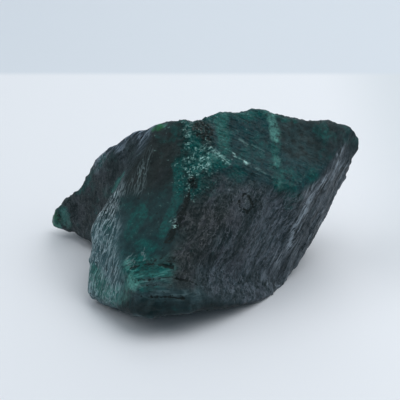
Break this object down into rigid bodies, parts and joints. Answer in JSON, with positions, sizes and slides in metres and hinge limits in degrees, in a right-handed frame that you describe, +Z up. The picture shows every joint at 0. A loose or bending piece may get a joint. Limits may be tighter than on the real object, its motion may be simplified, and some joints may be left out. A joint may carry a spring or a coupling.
{
  "type": "rough emerald",
  "caption": "Dark green rough emerald: one broken lump of stone with a high crest, smooth and fibrous fracture faces and a flat underside to rest on.",
  "frame": {"origin": "middle of the bounding box, at the level of the underside", "axes": "+X along the stone's length, from its low wing towards its high blunt end; +Y towards its rough back; +Z up"},
  "size_m": [0.0954, 0.0758, 0.0508],
  "materials": {
    "emerald_rock": "dark green stone, satin to glossy on fresh breaks, with teal green veins"
  },
  "bodies": {
    "root": {"rough_emerald": "emerald_rock"}
  },
  "joints": []
}
